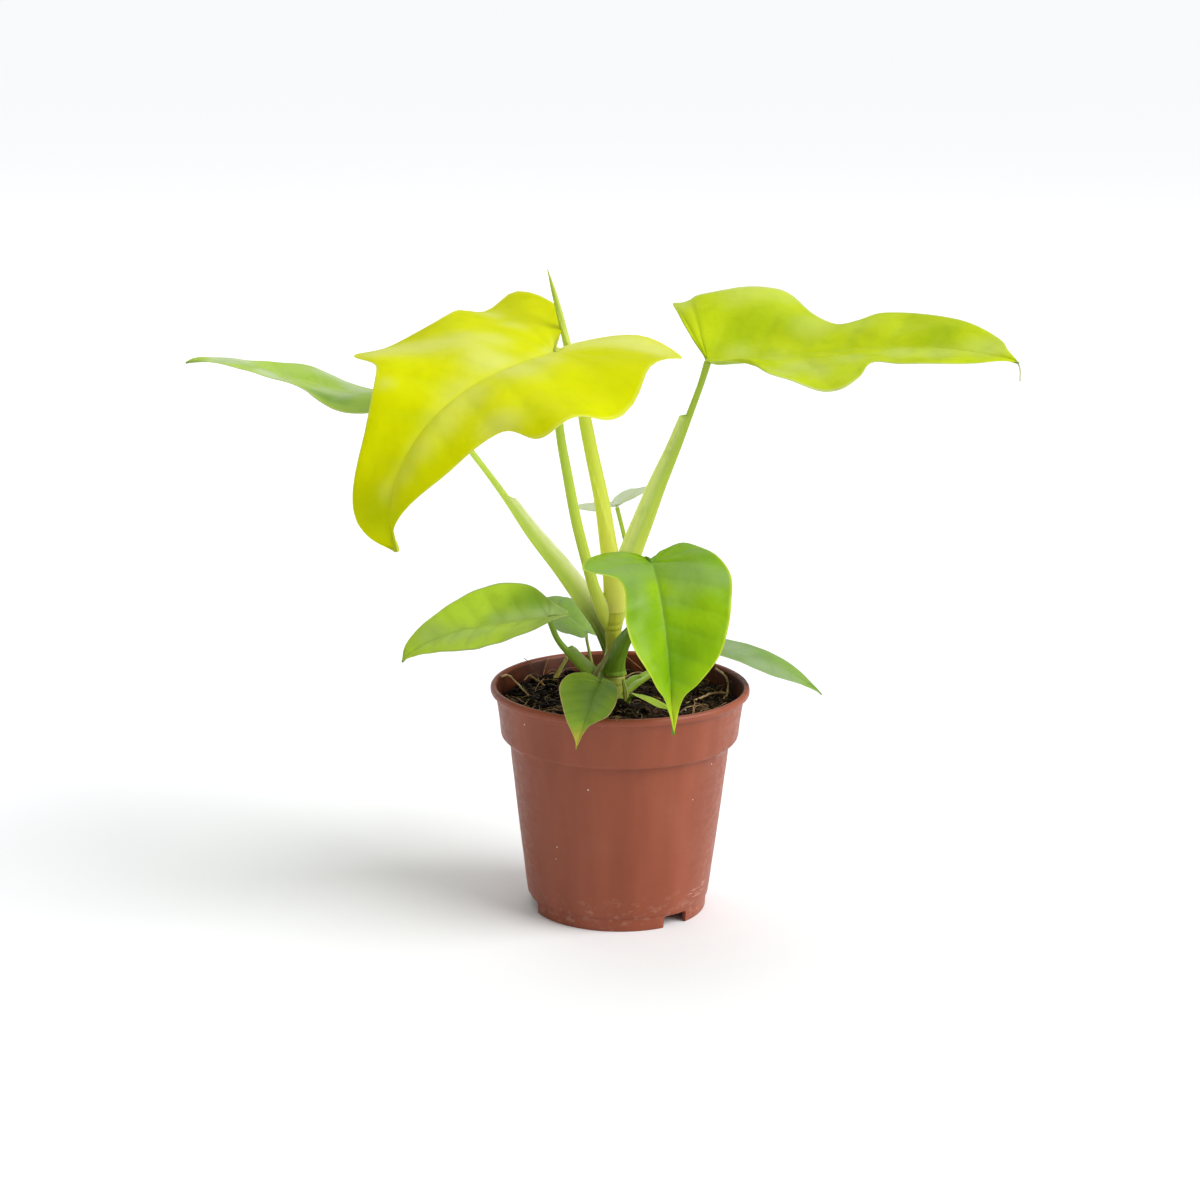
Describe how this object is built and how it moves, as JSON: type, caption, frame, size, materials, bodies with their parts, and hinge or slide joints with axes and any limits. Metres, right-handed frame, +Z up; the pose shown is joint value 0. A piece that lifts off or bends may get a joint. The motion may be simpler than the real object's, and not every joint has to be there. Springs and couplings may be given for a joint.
{
  "type": "potted philodendron",
  "caption": "Potted golden violin philodendron: lobed golden and green leaves on slender stalks, rooted in soil in a round tapered nursery pot with a rolled lip.",
  "frame": {"origin": "middle of the whole plant's bounding box in plan, on the surface that the pot's foot stands on", "axes": "+Z up the pot, +X to the viewer's right across the widest spread of leaves, -Y towards the viewer"},
  "size_m": [0.3783, 0.1857, 0.2961],
  "materials": {
    "pot_plastic": "satin",
    "potting_soil": "matte",
    "leaf_gold": "gloss",
    "leaf_lime": "gloss",
    "leaf_green": "gloss",
    "leaf_heart_green": "gloss",
    "leaf_soft_green": "satin",
    "leaf_rim_green": "gloss",
    "leaf_young": "gloss",
    "stem_lime": "satin",
    "petiole_green": "satin",
    "sheath_yellow": "satin",
    "shoot_bronze": "satin",
    "dry_sheath": "matte",
    "root_tan": "matte"
  },
  "bodies": {
    "root": {"pot": "pot_plastic", "soil": "potting_soil", "leaf_golden_front": "leaf_gold", "leaf_golden_right": "leaf_lime", "leaf_green_left": "leaf_green", "leaf_heart_front": "leaf_heart_green", "leaf_green_low_left": "leaf_green", "leaf_small_back_left": "leaf_soft_green", "leaf_small_rim": "leaf_rim_green", "leaf_low_right": "leaf_soft_green", "leaf_rear": "leaf_soft_green", "leaf_tiny": "leaf_young", "main_stem": "stem_lime", "sheath_new_leaf": "sheath_yellow", "petiole_golden_front": "stem_lime", "petiole_golden_right": "stem_lime", "petiole_green_left": "stem_lime", "petiole_heart_front": "petiole_green", "petiole_rear": "petiole_green", "petiole_low_left": "petiole_green", "petiole_small_rim": "petiole_green", "petiole_low_right": "petiole_green", "petiole_small_back_left": "petiole_green", "petiole_tiny": "petiole_green", "small_shoot": "shoot_bronze", "petiole_stub": "dry_sheath", "dry_sheath_left": "dry_sheath", "dry_sheath_right": "dry_sheath", "new_leaf_spear": "sheath_yellow", "root_left": "root_tan", "root_right_arc": "root_tan", "root_right_long": "root_tan", "root_back_left": "root_tan", "root_behind": "root_tan"}
  },
  "joints": []
}
